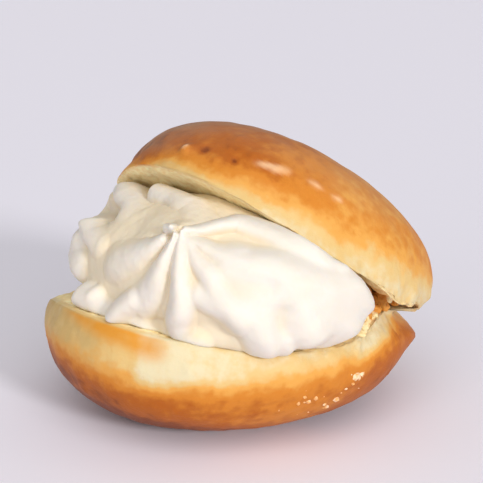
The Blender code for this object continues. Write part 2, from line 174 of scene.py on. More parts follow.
# Hollows: angle from the peak and azimuth in degrees of both ends, depth, and width
CREASES = (
    ((0.66, 262), (0.66, 300), 2.0 * MM, 0.08),
    ((1.42, 345), (1.36, 334), 4.0 * MM, 0.09),
    ((0.74, 330), (0.98, 316), 1.3 * MM, 0.045),
    ((0.44, 314), (0.60, 334), 0.8 * MM, 0.06),
    ((0.28, 348), (0.56, 359), 1.2 * MM, 0.06),
    ((0.98, 4), (1.40, 0), 3.0 * MM, 0.08),
    ((0.95, 169), (1.60, 165), 4.5 * MM, 0.10),
    ((0.45, 190), (0.70, 200), 0.8 * MM, 0.12),
)
# Folds lower than this get the painted shade of the valleys between them.
HOLLOW_DEPTH = 1.9 * MM
CREAM_RINGS = 290
CREAM_SECTORS = 320
LONGEST_RAY = 90 * MM
RAY_STEP = 2 * MM
HALVINGS = 24


def smoothstep(t):
    t = np.clip(t, 0.0, 1.0)
    return t * t * (3 - 2 * t)


def wave_sum(azimuth, waves):
    return sum(amount * np.cos(count * azimuth + phase) for amount, phase, count in waves)


def hump(azimuth, middle, spread):
    """1 at the middle azimuth, given in degrees as its spread is, and falling away on both sides."""
    off = (np.degrees(azimuth) - middle + 180) % 360 - 180
    return np.exp(-(off / spread) ** 2)


# ---- Mesh helpers -----------------------------------------------------------------------------------------
def mesh_object(name, points, faces, attributes=()):
    """A mesh with smooth shading, its normals outward, and one float attribute for each (name, values)."""
    mesh = bpy.data.meshes.new(name)
    mesh.from_pydata(points.tolist(), [], faces)
    for attribute, values in attributes:
        mesh.attributes.new(attribute, "FLOAT", "POINT").data.foreach_set("value", values)
    bm = bmesh.new()
    bm.from_mesh(mesh)
    bmesh.ops.remove_doubles(bm, verts=bm.verts, dist=MERGE)
    bmesh.ops.recalc_face_normals(bm, faces=bm.faces)
    bm.to_mesh(mesh)
    bm.free()
    mesh.shade_smooth()
    obj = bpy.data.objects.new(name, mesh)
    bpy.context.scene.collection.objects.link(obj)
    return obj


def positions(obj):
    points = np.empty(len(obj.data.vertices) * 3)
    obj.data.vertices.foreach_get("co", points)
    return points.reshape(-1, 3)


def place(obj, points):
    obj.data.vertices.foreach_set("co", points.ravel())
    obj.data.update()


def normals(obj):
    directions = np.empty(len(obj.data.vertices) * 3)
    obj.data.vertex_normals.foreach_get("vector", directions)
    return directions.reshape(-1, 3)


def read_attribute(obj, name):
    values = np.empty(len(obj.data.vertices))
    obj.data.attributes[name].data.foreach_get("value", values)
    return values


def write_attribute(obj, name, values):
    attribute = obj.data.attributes.get(name) or obj.data.attributes.new(name, "FLOAT", "POINT")
    attribute.data.foreach_set("value", values)


def smooth_where(obj, weight, steps):
    """Relaxes each point towards the mean of its neighbours, as far as its weight says."""
    edges = np.empty(len(obj.data.edges) * 2, dtype=int)
    obj.data.edges.foreach_get("vertices", edges)
    first, second = edges.reshape(-1, 2).T
    count = np.bincount(edges, minlength=len(weight))[:, None]
    points = positions(obj)
    for _ in range(steps):
        total = np.zeros_like(points)
        np.add.at(total, first, points[second])
        np.add.at(total, second, points[first])
        points += 0.5 * weight[:, None] * (total / count - points)
    place(obj, points)


def fractal(points, size, octaves=3, seed=0.0):
    """Smooth noise of about -1 to 1 at each point, with bumps about `size` across."""
    shift = Vector((seed, -seed, 2 * seed))
    return np.array([noise.fractal(Vector(point) + shift, 0.8, 2.0, octaves) for point in points / size])


def cells(points, size, seed=0.0):
    """Distance from each point to the nearest of scattered seeds about `size` apart, in that size."""
    shift = Vector((seed, -seed, 2 * seed))
    return np.array([noise.voronoi(Vector(point) + shift)[0][0] for point in points / size])


def grid_faces(index, wrap):
    """Quads between the rows of an index grid, which wraps round in its second direction if asked."""
    if wrap:
        index = np.concatenate([index, index[:, :1]], axis=1)
    corners = (index[:-1, :-1], index[:-1, 1:], index[1:, 1:], index[1:, :-1])
    return np.stack(corners, axis=-1).reshape(-1, 4).tolist()


def fan_faces(centre, ring):
    return [(centre, int(here), int(ahead)) for here, ahead in zip(ring[:-1], ring[1:])]


# ---- The bun's form ---------------------------------------------------------------------------------------
def crust_points(latitude, azimuth):
    """The closed bun's skin."""
    fullness = np.where(latitude < 0, LOWER_FULLNESS, UPPER_FULLNESS)
    height = np.where(latitude < 0, BASE_BELOW_WAIST, CROWN_ABOVE_WAIST)
    above_waist = height * np.sign(latitude) * np.abs(np.sin(latitude)) ** (2 / fullness)
    above_slit = above_waist - WAIST_BELOW_SLIT
    tuck = TUCK * smoothstep((above_slit - TUCK_BOTTOM) / (TUCK_TOP - TUCK_BOTTOM))
    reach = np.abs(np.cos(latitude)) ** (2 / fullness) * (1 - tuck) * (1 + wave_sum(azimuth, PLAN_WAVES))
    for middle, spread, level, thickness, amount in SWELLS:
        swell = hump(azimuth, middle, spread) * np.exp(-((above_slit - level) / thickness) ** 2)
        reach = reach + amount / (BUN_LENGTH / 2) * swell
    x = BUN_LENGTH / 2 * reach * np.cos(azimuth)
    y = BUN_DEPTH / 2 * reach * np.sin(azimuth)
    aside = (x * math.cos(LEAN_AZIMUTH) + y * math.sin(LEAN_AZIMUTH)) / (BUN_LENGTH / 2)
    thinned = above_waist * (1 - THINNER * aside) - WAIST_BELOW_SLIT
    return np.stack([x, y, np.where(above_waist < 0, thinned, above_slit)], axis=-1)


def rim_reach(x, y):
    """0 over the bun's middle and 1 at its rim."""
    return np.clip(np.hypot(x / (BUN_LENGTH / 2), y / (BUN_DEPTH / 2)), 0, 1.2)


def cut_height(x, y):
    return rim_reach(x, y) ** 2 * wave_sum(np.arctan2(y, x), SLIT_WAVES)


def face_shift(x, y, shifts):
    """How far a face of the slit stands off the clean cut."""
    azimuth = np.arctan2(y, x)
    shift = sum(amount * hump(azimuth, middle, spread) for middle, spread, amount in shifts)
    return rim_reach(x, y) ** 3 * shift


def face_height(x, y, side):
    """Height of the slit's floor (side -1), its roof (side 1), or between them at its round end."""
    behind = np.clip((y - FOLD_Y) / (SLIT_GAP / 2), 0, 1)
    opened = np.sqrt(1 - behind ** 2)
    floor = face_shift(x, y, FLOOR_SHIFTS) - SLIT_GAP / 2
    roof = face_shift(x, y, ROOF_SHIFTS) + SLIT_GAP / 2
    return cut_height(x, y) + opened * (floor * (1 - side) + roof * (1 + side)) / 2


def rim_latitude(azimuth, side):
    """Where each meridian of the skin meets a cut face."""
    low = np.full_like(azimuth, -math.pi / 3)
    high = np.full_like(azimuth, math.pi / 3)
    for _ in range(HALVINGS):
        middle = (low + high) / 2
        point = crust_points(middle, azimuth)
        above = point[..., 2] > face_height(point[..., 0], point[..., 1], side)
        high = np.where(above, middle, high)
        low = np.where(above, low, middle)
    return (low + high) / 2


def skin_rings(azimuth, start, end, rings, density):
    """Rings of skin points, gathered towards `end`, an arc-length rule along each meridian."""
    share = np.linspace(0, 1, PROFILE_SAMPLES)[:, None]
    fine = crust_points(start + share * (end - start), np.broadcast_to(azimuth, (PROFILE_SAMPLES, len(azimuth))))
    steps = np.linalg.norm(np.diff(fine, axis=0), axis=-1)
    length = np.concatenate([np.zeros((1, len(azimuth))), np.cumsum(steps, axis=0)])
    wanted = 1 - (1 - np.linspace(0, 1, rings + 1)) ** density
    result = np.empty((rings + 1, len(azimuth), 3))
    for column in range(len(azimuth)):
        along = wanted * length[-1, column]
        for axis in range(3):
            result[:, column, axis] = np.interp(along, length[:, column], fine[:, column, axis])
    return result


def pocket_rows(floor_rim, roof_rim):
    """Points of the slit's two faces, from the floor's rim in to the slit's round end and out to the roof's."""
    turn = np.linspace(0, math.pi, len(floor_rim))
    middle = (floor_rim[0, 0] + floor_rim[-1, 0]) / 2
    root_x = middle + (floor_rim[0, 0] - middle) * np.cos(turn)
    inward = np.linspace(0, 1, FACE_ROWS + 1)[1:, None] ** FACE_DENSITY

    def face(rim, side):
        x = rim[:, 0] + inward * (root_x - rim[:, 0])
        y = rim[:, 1] + inward * (FOLD_Y - rim[:, 1])
        return np.stack([x, y, face_height(x, y, side)], axis=-1)

    root = []
    for angle in ROOT_TURNS:
        side = math.sin(angle)
        y = np.full_like(root_x, FOLD_Y)
        z = face_height(root_x, y, side)
        root.append(np.stack([root_x, y + SLIT_GAP / 2 * math.cos(angle), z], axis=-1))
    return np.concatenate([face(floor_rim, -1), np.array(root), face(roof_rim, 1)[::-1]])


def closed_bun():
    """The slit bun before it is opened, with an attribute that is 1 on the cut faces."""
    azimuth = np.arange(BUN_SECTORS) * 2 * math.pi / BUN_SECTORS
    floor_latitude = rim_latitude(azimuth, -1)
    roof_latitude = rim_latitude(azimuth, 1)
    pole = np.full_like(azimuth, math.pi / 2)
    lower = skin_rings(azimuth, -pole, floor_latitude, LOWER_RINGS, RIM_DENSITY)[1:]
    upper = skin_rings(azimuth, pole, roof_latitude, UPPER_RINGS, RIM_DENSITY)[1:]
    cut = lower[-1, :, 1] < FOLD_Y
    first = int(np.flatnonzero(cut & ~np.roll(cut, 1))[0])
    columns = (first + np.arange(int(cut.sum()))) % BUN_SECTORS
    pocket = pocket_rows(lower[-1, columns], upper[-1, columns])

    lower_index = np.arange(lower[..., 0].size).reshape(lower.shape[:2])
    upper_index = lower_index.size + np.arange(upper[..., 0].size).reshape(upper.shape[:2])
    upper_index[-1] = np.where(cut, upper_index[-1], lower_index[-1])
    pocket_index = lower_index.size + upper[..., 0].size + np.arange(pocket[..., 0].size)
    pocket_index = pocket_index.reshape(pocket.shape[:2])
    pocket_grid = np.concatenate([lower_index[-1:, columns], pocket_index, upper_index[-1:, columns]])
    points = np.concatenate([lower.reshape(-1, 3), upper.reshape(-1, 3), pocket.reshape(-1, 3),
                             crust_points(np.array([-math.pi / 2, math.pi / 2]), np.zeros(2))])
    base, crown = len(points) - 2, len(points) - 1
    faces = grid_faces(lower_index, True) + grid_faces(upper_index, True) + grid_faces(pocket_grid, False)
    faces += fan_faces(base, np.append(lower_index[0], lower_index[0, 0]))
    faces += fan_faces(crown, np.append(upper_index[0], upper_index[0, 0]))
    faces += fan_faces(int(lower_index[-1, columns[0] - 1]), pocket_grid[:, 0])
    faces += fan_faces(int(lower_index[-1, (columns[-1] + 1) % BUN_SECTORS]), pocket_grid[:, -1])
    crumb = np.zeros(len(points))
    crumb[pocket_index] = 1
    return mesh_object("split_bun", points, faces, (("crumb", crumb),))


def rim_sag(points):
    """How far the swung-up half hangs lower than it would, near its torn rim."""
    x, y = points[..., 0], points[..., 1]
    above_cut = points[..., 2] - face_height(x, y, 0)
    near_rim = smoothstep((rim_reach(x, y) - 0.7) / 0.25) * np.exp(-(above_cut / SAG_FADE) ** 2)
    return SAG * hump(np.arctan2(y, x), SAG_AZIMUTH, SAG_SPREAD) * near_rim


def fold_share(points):
    above_cut = points[:, 2] - face_height(points[:, 0], points[:, 1], 0)
    turn = np.mod(-np.arctan2(above_cut, FOLD_Y - points[:, 1]), 2 * math.pi)
    return smoothstep((turn - FOLD_START) / (FOLD_END - FOLD_START))


def folded_open(points):
    share = fold_share(points)
    angle = OPEN_ANGLE * share
    y = points[:, 1] - FOLD_Y
    z = points[:, 2]
    moved = points.copy()
    moved[:, 1] = FOLD_Y + y * np.cos(angle) + z * np.sin(angle)
    moved[:, 2] = z * np.cos(angle) - y * np.sin(angle)
    moved[:, 2] -= share * rim_sag(points)
    return moved + share[:, None] * UPPER_SHIFT


def lean(points):
    axis = Vector((-math.sin(LEAN_AZIMUTH), math.cos(LEAN_AZIMUTH), 0))
    return points @ np.array(Matrix.Rotation(LEAN, 3, axis)).T


def packed_origin(points):
    """The slit frame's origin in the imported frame, found by setting these leaned points in the bun's box."""
    low, high = (np.array(corner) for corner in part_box("bun"))
    own_low, own_high = points.min(axis=0), points.max(axis=0)
    middle = (low + high) / 2 - (own_low + own_high) / 2
    return np.array([middle[0], middle[1], high[2] - own_high[2]])


def inside_box(points):
    """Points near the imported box's sides, or past them, drawn back inside."""
    low, high = packed_box
    middle, half = (np.array(high) + np.array(low)) / 2, (np.array(high) - np.array(low)) / 2
    off = points - middle
    past = np.maximum(np.abs(off) - (half - BOX_EASE), 0)
    drawn = np.sign(off) * (half - BOX_EASE + BOX_EASE * np.tanh(past / BOX_EASE))
    return middle + np.where(past > 0, drawn, off)


def make_bun():
    """The split bun and the slit frame's origin, with what each of its points was when closed."""
    bun = closed_bun()
    closed = positions(bun)
    opened = lean(folded_open(closed))
    origin = packed_origin(opened)
    place(bun, opened + origin)
    skin = Skin(closed, read_attribute(bun, "crumb"))
    smooth_where(bun, skin.near_rim * (skin.reach > 0.65), RIM_SMOOTHING_STEPS)
    write_attribute(bun, "crumb", skin.crumb)
    skin.browning = brownness_and_painted_shade(skin)
    write_attribute(bun, "browning", skin.browning)
    write_attribute(bun, "amber_and_painted_bounce", amber_and_painted_bounce(skin))
    write_attribute(bun, "painted_olive_shade", painted_olive_shade(skin))
    write_attribute(bun, "glaze_and_painted_highlight", glaze_and_painted_highlight(skin))
    write_attribute(bun, "painted_sheen", painted_sheen(skin))
    points = positions(bun) + normals(bun) * bun_relief(skin)[:, None]
    place(bun, inside_box(points))
    return bun, origin, skin


# ---- The bun's colouring, with its painted shade, sheen and highlights, and its relief --------------------
class Skin:
    """Where every point of the bun was while it was closed."""

    def __init__(self, closed, crumb):
        self.closed = closed
        self.azimuth = np.degrees(np.arctan2(closed[:, 1], closed[:, 0]))
        self.from_axis = np.hypot(closed[:, 0], closed[:, 1])
        self.reach = rim_reach(closed[:, 0], closed[:, 1])
        self.above_cut = closed[:, 2] - face_height(closed[:, 0], closed[:, 1], 0)
        floor, roof = (closed[:, 2] - face_height(closed[:, 0], closed[:, 1], side) for side in (-1, 1))
        off_rim = np.minimum(np.abs(floor), np.abs(roof))
        soft = hump(np.radians(self.azimuth), -110, 55) * (self.above_cut > 0)
        rounding = RIM_ROUNDING + (SOFT_RIM_ROUNDING - RIM_ROUNDING) * soft
        self.near_rim = np.exp(-(off_rim / rounding) ** 2) * (closed[:, 1] < FOLD_Y)
        self.on_face = crumb > 0.5
        outward = rim_reach_of_skin(self.azimuth) - self.reach
        self.crumb = np.where(self.on_face, smoothstep(outward / CRUMB_EDGE), 0)

    def around(self, middle, spread):
        return hump(np.radians(self.azimuth), middle, spread)

    def near(self, azimuth, height, size):
        """How far each point is from a place on the skin, as a share of that size."""
        return np.hypot(self.arc_from(azimuth), self.above_cut - height) / size

    def arc_from(self, azimuth):
        """How far round the bun each point is from an azimuth."""
        turn = np.radians((self.azimuth - azimuth + 180) % 360 - 180)
        return turn * self.from_axis


def rim_reach_of_skin(azimuth):
    """How far out the cut runs into the crust, in the measure of rim_reach."""
    turn = np.radians(np.arange(-180, 181, 3))
    rim = crust_points(rim_latitude(turn, -1), turn)
    return np.interp(azimuth, np.degrees(turn), rim_reach(rim[:, 0], rim[:, 1]))


# The crust's rule at each azimuth in degrees: how far in millimetres the pale waist reaches from the slit, how
# softly it turns brown, and the browning on the waist, past it, and far past it
LOWER_CRUST = (
    (-180, 7, 6, 0.15, 0.75, 0.9), (-125, 8, 6, 0.12, 0.85, 0.97), (-105, 10, 6, 0.14, 0.8, 0.93),
    (-84, 11.5, 6, 0.24, 0.74, 0.87), (-71, 12.5, 5, 0.2, 0.71, 0.82), (-67, 13, 4, 0.0, 0.7, 0.81),
    (-50, 11, 4, 0.04, 0.66, 0.76), (-35, 7, 4, 0.1, 0.53, 0.68), (-18, 4.3, 4, 0.15, 0.48, 0.66),
    (-4, 3.4, 3, 0.15, 0.52, 0.67), (8, 5.5, 2, 0.06, 0.62, 0.8), (18, 5.5, 2, 0.06, 0.7, 0.82),
    (28, 2.5, 2, 0.1, 0.74, 0.84), (60, 6, 4, 0.15, 0.68, 0.8),
    (120, 9, 4, 0.12, 0.7, 0.85), (180, 7, 6, 0.15, 0.75, 0.9),
)
# The upper table's darker crust towards the -X end is partly painted shade, on the side turned from the key light.
UPPER_CRUST = (
    (-180, 2, 4, 0.15, 0.7, 0.85), (-140, 0.5, 3, 0.2, 0.75, 0.88), (-105, 0.5, 3, 0.2, 0.64, 0.84),
    (-85, 1.4, 3, 0.16, 0.54, 0.8), (-70, 2.2, 3, 0.12, 0.48, 0.76), (-50, 3, 3, 0.1, 0.43, 0.66),
    (-30, 4.5, 3, 0.14, 0.39, 0.54), (-15, 7.5, 4, 0.12, 0.4, 0.52), (5, 7.5, 4, 0.1, 0.38, 0.52),
    (25, 7.5, 3, 0.1, 0.48, 0.62), (60, 5, 4, 0.15, 0.6, 0.75), (120, 5, 4, 0.15, 0.65, 0.8),
    (180, 2, 4, 0.15, 0.7, 0.85),
)
FAR_CRUST = 9 * MM  # past the pale waist
CROWN_BROWNING = 0.7  # at the very top and bottom
POLE_BLEND = 30 * MM


def brownness_and_painted_shade(skin):
    """0 on the palest waist, up to 1 where the crust is darkest; painted shade under the bun and towards its -X side
    is part of it.
    """
    ragged = 1.3 * fractal(skin.closed, 14 * MM, seed=3.0) + 0.5 * fractal(skin.closed, 4 * MM, seed=4.0)
    browning = np.zeros(len(skin.closed))
    for side, table in ((-1, LOWER_CRUST), (1, UPPER_CRUST)):
        angles, *columns = np.array(table).T
        reach, softness, waist, near, far = (np.interp(skin.azimuth, angles, column) for column in columns)
        past = side * skin.above_cut / MM - reach + ragged
        level = waist + (near - waist) * smoothstep((past + softness) / (2.2 * softness))
        far = CROWN_BROWNING + (far - CROWN_BROWNING) * smoothstep(skin.from_axis / POLE_BLEND)
        level += (far - near) * smoothstep(past / (FAR_CRUST / MM))
        browning = np.where(side * skin.above_cut >= 0, level, browning)
    mottle = 0.07 * fractal(skin.closed, 9 * MM, seed=6.0) + 0.05 * fractal(skin.closed, 3 * MM, seed=16.0)
    mottle += 0.05 * fractal(skin.closed * (1, 1, 2.2), 4 * MM, seed=17.0)
    # Painted shade: the underside, over 21 mm below the cut, is darkened along the bun's lower edge.
    under = 0.22 * smoothstep((-skin.above_cut / MM - 21) / 6)
    browning += mottle * (0.5 + 0.5 * smoothstep(browning / 0.5)) + scorching(skin) + under
    return np.clip(browning, 0, 1.1)


def scorching(skin):
    """Darker specks where the crust's small blisters have burst."""
    return sum(0.28 * np.exp(-skin.near(azimuth, height, radius) ** 2)
               for azimuth, height, radius, rise in BLISTERS if rise < 0)


def amber_and_painted_bounce(skin):
    """How far the crust or crumb is turned orange-brown beyond its other colouring: painted warm bounce light and
    shade deep in the torn corner, and an orange-brown wedge of crust just under the rim.
    """
    # Painted warm bounce light and shade deep in the torn corner of the crumb.
    corner = 0.75 * skin.around(10, 22) * smoothstep((skin.reach - 0.4) / 0.25) * skin.on_face
    corner *= smoothstep((0.93 - skin.reach) / 0.1)
    wedge = smoothstep((skin.azimuth + 108) / 14) * (1 - smoothstep((skin.azimuth + 66) / 8))
    bottom = np.interp(skin.azimuth, (-108, -85, -66), (2.4, 4.6, 6.5))
    depth = 1 - smoothstep((-skin.above_cut / MM - bottom + 2.5) / 4)
    rim_line = smoothstep((-skin.above_cut / MM - 0.5) / 0.8)
    under_rim = wedge * depth * rim_line * (skin.above_cut < 0) * ~skin.on_face
    uneven = 0.85 + 0.35 * fractal(skin.closed, 7 * MM, seed=8.0)
    return np.clip((corner + under_rim) * uneven, 0, 1)


def painted_olive_shade(skin):
    """Painted shade: how far the pale skin is dulled, mottled, to a greyish beige on the side turned from the key
    light, at the lower half's -X end and along the upper half's rim there.
    """
    low = smoothstep((-74 - skin.azimuth) / 12) * smoothstep((skin.azimuth + 190) / 40)
    high = 0.5 * skin.around(-105, 40)
    strength = np.where(skin.above_cut < 0, low, high) * ~skin.on_face
    uneven = 0.7 + 0.6 * fractal(skin.closed, 5 * MM, seed=10.0)
    return np.clip(strength * uneven * (1 - smoothstep((skin.browning - 0.15) / 0.45)), 0, 1)


def painted_sheen(skin):
    """Painted sheen: how far the crust is greyed, as a painted reflection of the pale surroundings, in a band round
    the crown's shoulder and at its -X end, on the front only.
    """
    height = skin.above_cut / MM
    band = smoothstep((height - 10) / 16) * (1 - 0.75 * smoothstep((height - 23) / 9))
    shoulder = 0.9 * band * (0.35 + 0.65 * smoothstep((20 * MM - skin.closed[:, 0]) / (45 * MM)))
    end = 0.5 * smoothstep((height - 3) / 6) * skin.around(-118, 26) * (1 - smoothstep((height - 14) / 8))
    uneven = 0.85 + 0.4 * fractal(skin.closed, 7 * MM, seed=14.0)
    in_front = smoothstep((12 * MM - skin.closed[:, 1]) / (28 * MM))
    return np.clip((shoulder + end) * uneven * in_front, 0, 1) * ~skin.on_face


def glaze_and_painted_highlight(skin):
    """Thin dried patches of sugary coating on the crust; their pale colour is partly a painted highlight."""
    total = np.zeros(len(skin.closed))
    for azimuth, height, size, stretch, tilt in GLAZE_AND_HIGHLIGHT_PATCHES:
        arc = skin.arc_from(azimuth)
        off = np.hypot(arc / (size * stretch), (skin.above_cut - height - tilt * arc) / size)
        total += np.exp(-off ** 2)
    ragged = 0.6 * fractal(skin.closed, 3.5 * MM, octaves=2, seed=9.0)
    return smoothstep((total * (1 + ragged) - 0.1) / 1.1) * ~skin.on_face


# Patches of sugary coating and painted highlight: azimuth in degrees, height above the cut, size, stretch along the
# rim, and rise along it
GLAZE_AND_HIGHLIGHT_PATCHES = (
    (-62, 12.0 * MM, 1.1 * MM, 2.4, 0.3),
    (-56, 12.9 * MM, 1.3 * MM, 2.2, 0.3),
    (-43, 14.4 * MM, 0.9 * MM, 2.6, 0),
    (-34, 14.3 * MM, 0.8 * MM, 2.4, 0.1),
    (-90, 7.7 * MM, 0.8 * MM, 1.3, 0),
    (60, 15 * MM, 1.1 * MM, 2.5, 0.2),
    (130, 18 * MM, 1.2 * MM, 2.0, 0),
    (-150, 14 * MM, 1.0 * MM, 2.0, 0.3),
)
# Azimuth in degrees, height above the cut, radius and rise
BLISTERS = (
    (-89, 7.4 * MM, 1.7 * MM, 0.9 * MM),
    (-83, 8.9 * MM, 1.2 * MM, -0.6 * MM),
    (-77, 7.7 * MM, 1.0 * MM, 0.4 * MM),
    (-71, 9.1 * MM, 0.9 * MM, -0.4 * MM),
    (-67, 13.2 * MM, 1.4 * MM, 0.4 * MM),
    (-108, 10.5 * MM, 0.9 * MM, -0.4 * MM),
    (-114, 8.5 * MM, 1.1 * MM, -0.5 * MM),
    (-119, 6.5 * MM, 0.9 * MM, -0.4 * MM),
)
SCATTERED_BLISTERS = 70


def blisters(skin):
    rise = np.zeros(len(skin.closed))
    draw = np.random.default_rng(11)
    scattered = [(draw.uniform(-180, 180), draw.uniform(4, 24) * draw.choice((-1, 1)) * MM,
                  draw.uniform(0.6, 1.6) * MM, draw.uniform(0.12, 0.4) * MM) for _ in range(SCATTERED_BLISTERS)]
    for azimuth, height, radius, amount in (*BLISTERS, *scattered):
        rise += amount * np.exp(-skin.near(azimuth, height, radius) ** 2)
    return rise


def torn_lumps(skin):
    """The rim's lumps and pits where the crumb was torn at the +X end."""
    where = skin.around(4, 22) * smoothstep((skin.reach - 0.5) / 0.3)
    where *= np.maximum(np.exp(-(skin.above_cut / (5 * MM)) ** 2), skin.on_face)
    lumps = 2.4 * MM * (0.42 - cells(skin.closed, 6 * MM, seed=12.0))
    lumps += 0.7 * MM * fractal(skin.closed, 2.5 * MM, seed=13.0)
    return where * lumps


def bun_relief(skin):
    closed = skin.closed
    crust = 0.35 * MM * fractal(closed, 15 * MM, seed=1.0) + 0.12 * MM * fractal(closed, 4 * MM, octaves=1, seed=2.0)
    crust += blisters(skin) + 0.12 * MM * glaze_and_painted_highlight(skin)
    uneven = 0.6 * MM * fractal(closed, 9 * MM, seed=5.0)
    pores = -0.8 * MM * smoothstep((0.35 - cells(closed, 2.4 * MM, seed=7.0)) / 0.3)
    return torn_lumps(skin) + np.where(skin.on_face, skin.crumb * (uneven + pores), crust)


# ---- The cream's form -------------------------------------------------------------------------------------
def cream_directions():
    step = (np.arange(CREAM_RINGS) + 1) / (CREAM_RINGS + 1)
    rings = math.pi * (0.4 * step + 0.6 * step ** 2)
    sectors = np.arange(CREAM_SECTORS) * 2 * math.pi / CREAM_SECTORS
    from_peak, azimuth = np.meshgrid(rings, sectors, indexing="ij")
    ahead = np.array([math.cos(PEAK_AZIMUTH), math.sin(PEAK_AZIMUTH), 0])
    right = np.array([-ahead[1], ahead[0], 0])
    peak = math.cos(PEAK_RISE) * ahead + math.sin(PEAK_RISE) * np.array([0, 0, 1])
    up = np.cross(peak, right)
    sideways = np.cos(azimuth)[..., None] * right + np.sin(azimuth)[..., None] * up
    return from_peak, azimuth, np.cos(from_peak)[..., None] * peak + np.sin(from_peak)[..., None] * sideways


def swirl_plane(from_peak, azimuth):
    """The swirl laid flat: distance is the angle from the peak, direction the azimuth round it."""
    return np.stack([from_peak * np.cos(azimuth), from_peak * np.sin(azimuth)], axis=-1)


def wandering(flat):
    """Flattened points shifted a little to and fro, so that the folds run unevenly."""
    x, y = flat[..., 0], flat[..., 1]
    stray_x = np.sin(7 * y + 1) + 0.6 * np.sin(17 * y + 5 * x)
    stray_y = np.sin(8 * x + 2) + 0.6 * np.sin(15 * x - 6 * y)
    amount = FOLD_WANDER * np.minimum(1, 3 * np.hypot(x, y))
    return np.stack([x + amount * stray_x, y + amount * stray_y], axis=-1)


def off_path(flat, path):
    """Distance from each flattened point to a path, and how far along the path its nearest point is."""
    angles, azimuths = np.array(path).T
    stops = swirl_plane(angles, np.radians(azimuths))
    nearest = np.full(flat.shape[:-1], np.inf)
    along = np.zeros(flat.shape[:-1])
    for number, (start, end) in enumerate(zip(stops[:-1], stops[1:])):
        run = end - start
        share = np.clip(((flat - start) @ run) / (run @ run), 0, 1)
        distance = np.linalg.norm(flat - start - share[..., None] * run, axis=-1)
        closer = distance < nearest
        nearest = np.where(closer, distance, nearest)
        along = np.where(closer, (number + share) / (len(stops) - 1), along)
    return nearest, along


def fold_height(flat):
    """Height of the folds, the highest one where they meet."""
    total = np.ones(flat.shape[:-1])
    for path, widths, heights in FOLDS:
        distance, along = off_path(flat, path)
        width = widths[0] + (widths[1] - widths[0]) * along
        height = (heights[0] + (heights[1] - heights[0]) * along) * MM
        arch = np.clip(1 - (distance / width) ** 2, 0, 1) ** FOLD_ROUNDNESS
        total += np.exp(height * arch / FOLD_BLEND) - 1
    return FOLD_BLEND * np.log(total)


def crease_depth(flat):
    depth = np.zeros(flat.shape[:-1])
    for start, end, deep, width in CREASES:
        distance, _ = off_path(flat, (start, end))
        depth += deep * np.exp(-(distance / width) ** 2)
    return depth


def swirl_radius(from_peak, azimuth, direction):
    plus_x, minus_x, front, back, z_reach = CREAM_REACH
    x = direction[..., 0] / np.where(direction[..., 0] > 0, plus_x, minus_x)
    y = direction[..., 1] / np.where(direction[..., 1] < 0, front, back)
    z = direction[..., 2] / z_reach
    body = (np.abs(x) ** CREAM_SQUARENESS + np.abs(y) ** CREAM_SQUARENESS
            + np.abs(z) ** CREAM_SQUARENESS) ** (-1 / CREAM_SQUARENESS)
    body += END_SPREAD * smoothstep((-direction[..., 0] - 0.7) / 0.3)
    body -= SLUMP * smoothstep((direction @ SLUMP_DIRECTION - 0.4) / 0.6)
    fade_start, fade_end = FOLD_FADE
    fade = 1 - smoothstep((from_peak - fade_start) / (fade_end - fade_start))
    flat = wandering(swirl_plane(from_peak, azimuth))
    relief = fold_height(flat) * fade - crease_depth(flat)
    peak = PEAK_HEIGHT * np.exp(-from_peak / PEAK_SPREAD)
    knob = KNOB_HEIGHT * np.exp(-(from_peak / KNOB_SPREAD) ** 2)
    return body + relief + peak + knob, relief


def above_floor(points):
    return points[..., 2] - face_height(points[..., 0], points[..., 1], -1) - CREAM_GAP


def below_roof(points):
    moved = points - UPPER_SHIFT
    y = moved[..., 1] - FOLD_Y
    z = moved[..., 2]
    closed_y = FOLD_Y + y * math.cos(OPEN_ANGLE) - z * math.sin(OPEN_ANGLE)
    closed_z = y * math.sin(OPEN_ANGLE) + z * math.cos(OPEN_ANGLE)
    face = face_height(moved[..., 0], closed_y, 1)
    sag = rim_sag(np.stack([moved[..., 0], closed_y, face], axis=-1)) * math.cos(OPEN_ANGLE)
    return face - sag - closed_z - CREAM_GAP


def distance_to_face(direction, clearance):
    near = np.zeros(direction.shape[:-1])
    clear = np.full(direction.shape[:-1], True)
    for distance in np.arange(RAY_STEP, LONGEST_RAY, RAY_STEP):
        clear &= clearance(CREAM_CENTRE + distance * direction) > 0
        near = np.where(clear, distance, near)
    far = near + RAY_STEP
    for _ in range(HALVINGS):
        middle = (near + far) / 2
        free = clearance(CREAM_CENTRE + middle[..., None] * direction) > 0
        near = np.where(free, middle, near)
        far = np.where(free, far, middle)
    return near


